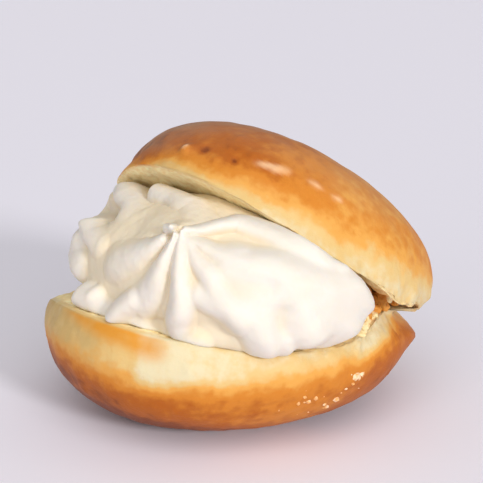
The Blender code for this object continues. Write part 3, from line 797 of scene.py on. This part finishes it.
def make_cream(origin):
    from_peak, azimuth, direction = cream_directions()
    swirl, relief = swirl_radius(from_peak, azimuth, direction)
    limits = (swirl, distance_to_face(direction, above_floor), distance_to_face(direction, below_roof))
    radius = -CREAM_EDGE * np.log(sum(np.exp(-limit / CREAM_EDGE) for limit in limits))
    grid = CREAM_CENTRE + radius[..., None] * direction
    points = np.concatenate([grid.reshape(-1, 3), grid[0].mean(axis=0)[None], grid[-1].mean(axis=0)[None]])
    index = np.arange(grid[..., 0].size).reshape(grid.shape[:2])
    faces = grid_faces(index, True)
    faces += fan_faces(len(points) - 2, np.append(index[0], index[0, 0]))
    faces += fan_faces(len(points) - 1, np.append(index[-1], index[-1, 0]))
    # Painted shade: the lower the relief, the more of the darker, warmer beige.
    painted_hollow_shade = np.clip(1 - relief / HOLLOW_DEPTH, 0, 1).ravel()
    cream = mesh_object("piped_cream", lean(points) + origin, faces, (("painted_hollow_shade", np.append(painted_hollow_shade, (0, 0))),))
    points = positions(cream)
    ripple = 0.12 * MM * fractal(points, 3.5 * MM, seed=21.0) + 0.2 * MM * fractal(points, 9 * MM, seed=22.0)
    place(cream, inside_box(points + normals(cream) * ripple[:, None]))
    return cream


# ---- Loose crumb and sugar -------------------------------------------------------------------------------
DEEP_LUMPS = 22
RIM_LUMPS = 12
# Azimuth in degrees, height above the cut and size of the sugar that stuck to the lower crust
SUGAR = (
    (1, -10.2 * MM, 2.0 * MM), (3, -9.4 * MM, 1.3 * MM), (2.5, -11.0 * MM, 1.2 * MM), (-0.1, -12 * MM, 1.1 * MM),
    (-2.2, -12.7 * MM, 0.9 * MM), (-4.1, -15.4 * MM, 1.4 * MM), (-6.1, -17.7 * MM, 1.7 * MM),
    (-8, -16.6 * MM, 1.1 * MM), (-12.8, -12.9 * MM, 1.2 * MM), (-14.8, -14 * MM, 1.2 * MM),
    (-17.4, -11.9 * MM, 1.1 * MM), (-19, -14.6 * MM, 0.9 * MM),
)
STRAY_SUGAR = 12


def lump(centre, size, draw, detail):
    """Points and faces of one uneven lump."""
    ball = bmesh.new()
    bmesh.ops.create_icosphere(ball, subdivisions=detail, radius=1)
    points = np.array([vertex.co for vertex in ball.verts])
    faces = [[vertex.index for vertex in face.verts] for face in ball.faces]
    ball.free()
    uneven = 1 + 0.5 * fractal(points + draw.uniform(0, 50, 3), 1.5)
    return centre + size * draw.uniform(0.6, 1.3, 3) * points * uneven[:, None], faces


def joined(name, lumps, attributes=()):
    """One mesh of several lumps; each attribute has one value for each lump."""
    points = np.concatenate([own for own, _ in lumps])
    faces = []
    start = 0
    for own, own_faces in lumps:
        faces += [[start + corner for corner in face] for face in own_faces]
        start += len(own)
    spread = [(key, np.repeat(values, [len(own) for own, _ in lumps])) for key, values in attributes]
    return mesh_object(name, points, faces, spread)


def mouth_point(azimuth, reach, share, origin):
    """A place in the open mouth: a share of the way from its floor up to its roof."""
    turn = math.radians(azimuth)
    x = reach * BUN_LENGTH / 2 * math.cos(turn)
    y = reach * BUN_DEPTH / 2 * math.sin(turn)
    faces = np.array([(x, y, face_height(x, y, side)) for side in (-1, 1)])
    floor, roof = lean(folded_open(faces)) + origin
    return floor + share * (roof - floor)


def make_torn_crumb(origin):
    """Ragged crumb that still joins the halves inside the +X corner: orange-brown painted bounce light and shade
    deep in it, pale by the rims.
    """
    draw = np.random.default_rng(5)
    lumps, values = [], []
    for _ in range(DEEP_LUMPS):
        centre = mouth_point(draw.uniform(8, 28), draw.uniform(0.66, 0.8), draw.uniform(0.05, 0.95), origin)
        lumps.append(lump(centre, draw.uniform(1.6, 2.6) * MM, draw, 4))
        values.append(1.0)
    for _ in range(RIM_LUMPS):
        share = draw.choice((0.0, 1.0)) + draw.uniform(-0.04, 0.04)
        centre = mouth_point(draw.uniform(6, 22), draw.uniform(0.78, 0.88), share, origin)
        lumps.append(lump(centre, draw.uniform(1.0, 1.9) * MM, draw, 4))
        values.append(0.1)
    nothing = np.zeros(len(lumps))
    deep = np.array(values)
    # The deep lumps get painted bounce light and shade: orange-brown and darker.
    values = (("crumb", 1 - 0.9 * deep), ("amber_and_painted_bounce", 0.5 * deep), ("browning", 0.55 * deep),
              ("painted_olive_shade", nothing), ("glaze_and_painted_highlight", nothing), ("painted_sheen", nothing))
    return joined("torn_crumb", lumps, values)


def make_sugar(bun, skin):
    """Grains of sugar stuck to the crust, mostly low down by the +X end."""
    draw = np.random.default_rng(8)
    stray = [(draw.normal(-9, 9), draw.normal(-13, 2.6) * MM, draw.uniform(0.3, 0.65) * MM)
             for _ in range(STRAY_SUGAR)]
    points, outward = positions(bun), normals(bun)
    grains = []
    for azimuth, height, size in (*SUGAR, *stray):
        off = skin.near(azimuth, height, MM) + 100 * skin.on_face
        spot = int(np.argmin(off))
        grains.append(lump(points[spot] - 0.12 * size * outward[spot], 0.6 * size, draw, 1))
    sugar = joined("sugar_grains", grains)
    sugar.data.shade_flat()
    return sugar


# ---- Materials --------------------------------------------------------------------------------------------
def srgb(red, green, blue):
    """A colour given in screen values from 0 to 255, as the linear colour that the shader takes."""
    screen = np.array([red, green, blue]) / 255
    linear = np.where(screen <= 0.04045, screen / 12.92, ((screen + 0.055) / 1.055) ** 2.4)
    return (*linear.tolist(), 1)


def new_material(name, roughness, subsurface=0.0, scatter=(1, 1, 1), coat=0.0, sheen=0.0):
    material = bpy.data.materials.new(name)
    material.use_nodes = True
    surface = material.node_tree.nodes["Principled BSDF"]
    surface.inputs["Roughness"].default_value = roughness
    surface.inputs["Subsurface Weight"].default_value = subsurface
    surface.inputs["Subsurface Radius"].default_value = scatter
    surface.inputs["Subsurface Scale"].default_value = MM
    surface.inputs["Coat Weight"].default_value = coat
    surface.inputs["Coat Roughness"].default_value = 0.3
    surface.inputs["Sheen Weight"].default_value = sheen
    surface.inputs["Sheen Roughness"].default_value = 0.28
    surface.inputs["Sheen Tint"].default_value = srgb(225, 222, 240)
    surface.inputs["Specular IOR Level"].default_value = 0.18
    return material, material.node_tree, surface


def add_node(tree, kind, **settings):
    node = tree.nodes.new(kind)
    for name, value in settings.items():
        setattr(node, name, value)
    return node


def colour_ramp(tree, factor, stops):
    node = add_node(tree, "ShaderNodeValToRGB")
    node.color_ramp.interpolation = "EASE"
    while len(node.color_ramp.elements) < len(stops):
        node.color_ramp.elements.new(0.5)
    for element, (place_on_ramp, colour) in zip(node.color_ramp.elements, stops):
        element.position = place_on_ramp
        element.color = colour
    tree.links.new(factor, node.inputs["Fac"])
    return node.outputs["Color"]


def noise_texture(tree, size, detail=4.0):
    where = add_node(tree, "ShaderNodeTexCoord")
    node = add_node(tree, "ShaderNodeTexNoise")
    node.inputs["Scale"].default_value = 1 / size
    node.inputs["Detail"].default_value = detail
    tree.links.new(where.outputs["Object"], node.inputs["Vector"])
    return node.outputs["Fac"]


def arithmetic(tree, operation, first, second):
    node = add_node(tree, "ShaderNodeMath", operation=operation)
    for socket, value in zip(node.inputs, (first, second)):
        if isinstance(value, (int, float)):
            socket.default_value = value
        else:
            tree.links.new(value, socket)
    return node.outputs["Value"]


def mix_colours(tree, factor, first, second):
    node = add_node(tree, "ShaderNodeMix", data_type="RGBA")
    tree.links.new(factor, node.inputs["Factor"])
    tree.links.new(first, node.inputs["A"])
    tree.links.new(second, node.inputs["B"])
    return node.outputs["Result"]


def bump(tree, height, distance, strength, surface):
    node = add_node(tree, "ShaderNodeBump")
    node.inputs["Distance"].default_value = distance
    node.inputs["Strength"].default_value = strength
    tree.links.new(height, node.inputs["Height"])
    tree.links.new(node.outputs["Normal"], surface.inputs["Normal"])


def attribute(tree, name):
    return add_node(tree, "ShaderNodeAttribute", attribute_name=name).outputs["Fac"]


def plain_colour(tree, colour):
    node = add_node(tree, "ShaderNodeRGB")
    node.outputs["Color"].default_value = colour
    return node.outputs["Color"]


CRUST_RAMP = (
    (0.0, srgb(217, 204, 168)), (0.2, srgb(217, 184, 122)), (0.4, srgb(220, 159, 76)),
    (0.6, srgb(204, 127, 42)), (0.8, srgb(174, 93, 22)), (1.0, srgb(128, 60, 14)),
)
CRUMB_RAMP = ((0.3, srgb(246, 218, 160)), (0.7, srgb(255, 240, 192)))
AMBER_AND_PAINTED_BOUNCE = srgb(214, 146, 52)
PAINTED_OLIVE_SHADE = srgb(196, 164, 106)
GLAZE_AND_PAINTED_HIGHLIGHT = srgb(246, 206, 164)
PAINTED_SHEEN_GREY = srgb(182, 150, 124)


def bun_material():
    material, tree, surface = new_material("browned_bun", 0.45, 0.1, (2.0, 1.0, 0.4), coat=0.04, sheen=0.0)
    mottle = arithmetic(tree, "MULTIPLY", arithmetic(tree, "SUBTRACT", noise_texture(tree, 2.4 * MM), 0.5), 0.22)
    crust = colour_ramp(tree, arithmetic(tree, "ADD", attribute(tree, "browning"), mottle), CRUST_RAMP)
    # Painted shade on the pale skin of the -X side.
    crust = mix_colours(tree, attribute(tree, "painted_olive_shade"), crust, plain_colour(tree, PAINTED_OLIVE_SHADE))
    # Painted sheen: the greyed crown stands in for a reflection of the pale surroundings.
    crust = mix_colours(tree, attribute(tree, "painted_sheen"), crust, plain_colour(tree, PAINTED_SHEEN_GREY))
    crumb = colour_ramp(tree, noise_texture(tree, 1.5 * MM), CRUMB_RAMP)
    colour = mix_colours(tree, attribute(tree, "crumb"), crust, crumb)
    # Painted bounce light and shade in the torn corner, and the orange-brown wedge under the rim.
    colour = mix_colours(tree, attribute(tree, "amber_and_painted_bounce"), colour, plain_colour(tree, AMBER_AND_PAINTED_BOUNCE))
    # The pale coating patches, partly a painted highlight.
    glaze_and_highlight_share = arithmetic(tree, "MULTIPLY", attribute(tree, "glaze_and_painted_highlight"), 0.7)
    colour = mix_colours(tree, glaze_and_highlight_share, colour, plain_colour(tree, GLAZE_AND_PAINTED_HIGHLIGHT))
    tree.links.new(colour, surface.inputs["Base Color"])
    dry = arithmetic(tree, "MULTIPLY", attribute(tree, "crumb"), 0.35)
    slick = arithmetic(tree, "MULTIPLY", attribute(tree, "glaze_and_painted_highlight"), 0.25)
    roughness = arithmetic(tree, "SUBTRACT", arithmetic(tree, "ADD", dry, 0.5), slick)
    tree.links.new(roughness, surface.inputs["Roughness"])
    bump(tree, noise_texture(tree, 0.9 * MM, 6.0), 0.25 * MM, 0.5, surface)
    return material


def cream_material():
    material, tree, surface = new_material("whipped_cream", 0.5, 0.4, (3.0, 2.2, 1.4))
    ridge = colour_ramp(tree, noise_texture(tree, 8 * MM), ((0.3, srgb(224, 217, 206)), (0.7, srgb(228, 221, 212))))
    # Painted shade: the valleys between the folds take a darker, warmer beige.
    deep = arithmetic(tree, "MULTIPLY", attribute(tree, "painted_hollow_shade"), 0.8)
    colour = mix_colours(tree, deep, ridge, plain_colour(tree, srgb(230, 214, 184)))
    tree.links.new(colour, surface.inputs["Base Color"])
    bump(tree, noise_texture(tree, 1.2 * MM, 5.0), 0.12 * MM, 0.5, surface)
    return material


def sugar_material():
    material, tree, surface = new_material("sugar", 0.3, 0.3, (1.0, 0.8, 0.6))
    tint = colour_ramp(tree, noise_texture(tree, 2 * MM), ((0.4, srgb(232, 170, 104)), (0.6, srgb(246, 214, 176))))
    tree.links.new(tint, surface.inputs["Base Color"])
    bump(tree, noise_texture(tree, 0.4 * MM), 0.1 * MM, 0.5, surface)
    return material


# ---- Stage ------------------------------------------------------------------------------------------------
CAMERA_AZIMUTH = math.radians(47)
CAMERA_ELEVATION = math.radians(15.6)
CAMERA_DISTANCE = 360 * MM
CAMERA_LENS = 100
AIM_RIGHT = 2.3 * MM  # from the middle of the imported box
AIM_UP = 6.1 * MM
FLOOR_REACH = 6.0


def camera_axes():
    """Unit vectors to the camera's right, and from the object towards the camera."""
    right = Vector((math.cos(CAMERA_AZIMUTH), math.sin(CAMERA_AZIMUTH), 0))
    level = Vector((math.sin(CAMERA_AZIMUTH), -math.cos(CAMERA_AZIMUTH), 0))
    back = level * math.cos(CAMERA_ELEVATION) + Vector((0, 0, math.sin(CAMERA_ELEVATION)))
    return right, level, back


def packed_middle():
    low, high = packed_box
    return (low + high) / 2


def add_camera():
    right, _, back = camera_axes()
    data = bpy.data.cameras.new("camera")
    data.lens = CAMERA_LENS
    camera = bpy.data.objects.new("camera", data)
    bpy.context.scene.collection.objects.link(camera)
    aim = packed_middle() + AIM_RIGHT * right + AIM_UP * Vector((0, 0, 1))
    camera.location = aim + CAMERA_DISTANCE * back
    camera.rotation_mode = "QUATERNION"
    camera.rotation_quaternion = (-back).to_track_quat("-Z", "Y")
    bpy.context.scene.camera = camera


def add_sun(name, strength, colour, softness, sideways, towards_camera, above):
    """A broad, even light from a direction given in the camera's own directions."""
    right, level, _ = camera_axes()
    data = bpy.data.lights.new(name, "SUN")
    data.energy = strength
    data.color = colour
    data.angle = softness
    light = bpy.data.objects.new(name, data)
    bpy.context.scene.collection.objects.link(light)
    towards = sideways * right + towards_camera * level + above * Vector((0, 0, 1))
    light.rotation_mode = "QUATERNION"
    light.rotation_quaternion = (-towards).to_track_quat("-Z", "Y")


def add_soft_light(name, size, power, colour, sideways, towards_camera, above):
    """A square light aimed at the object, placed by distances in the camera's own directions."""
    right, level, _ = camera_axes()
    data = bpy.data.lights.new(name, "AREA")
    data.size = size
    data.energy = power
    data.color = colour
    light = bpy.data.objects.new(name, data)
    bpy.context.scene.collection.objects.link(light)
    offset = sideways * right + towards_camera * level + above * Vector((0, 0, 1))
    light.location = packed_middle() + offset
    light.rotation_mode = "QUATERNION"
    light.rotation_quaternion = (-offset).to_track_quat("-Z", "Y")


def add_world():
    world = bpy.data.worlds.new("studio")
    world.use_nodes = True
    background = world.node_tree.nodes["Background"]
    background.inputs["Color"].default_value = (1.0, 0.985, 0.96, 1)
    background.inputs["Strength"].default_value = 0.36
    bpy.context.scene.world = world


def add_floor():
    corners = FLOOR_REACH * np.array([[-1, -1, 0], [1, -1, 0], [1, 1, 0], [-1, 1, 0]])
    floor = mesh_object("floor", corners, [(0, 1, 2, 3)])
    material, _, surface = new_material("pale_floor", 0.7)
    surface.inputs["Base Color"].default_value = srgb(244, 242, 255)
    floor.data.materials.append(material)


def add_piece(obj, material, node):
    obj.data.materials.append(material)
    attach(obj, "root")
    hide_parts(node)


add_camera()
bun_piece, slit_origin, bun_skin = make_bun()
cream_piece = make_cream(slit_origin)
crust_and_crumb = bun_material()
add_piece(bun_piece, crust_and_crumb, "bun")
add_piece(make_torn_crumb(slit_origin), crust_and_crumb, "bun")
add_piece(make_sugar(bun_piece, bun_skin), sugar_material(), "bun")
add_piece(cream_piece, cream_material(), "cream")
add_floor()
add_world()
add_sun("key", 1.75, (1, 0.985, 0.96), math.radians(10), 0.5, 0.8, 0.33)
add_sun("fill", 1.25, (1, 0.985, 0.96), math.radians(60), 0.0, 0.72, 0.69)
add_sun("low", 0.5, (1, 0.985, 0.96), math.radians(40), -0.6, 0.8, 0.08)
bpy.context.scene.view_settings.view_transform = "Standard"

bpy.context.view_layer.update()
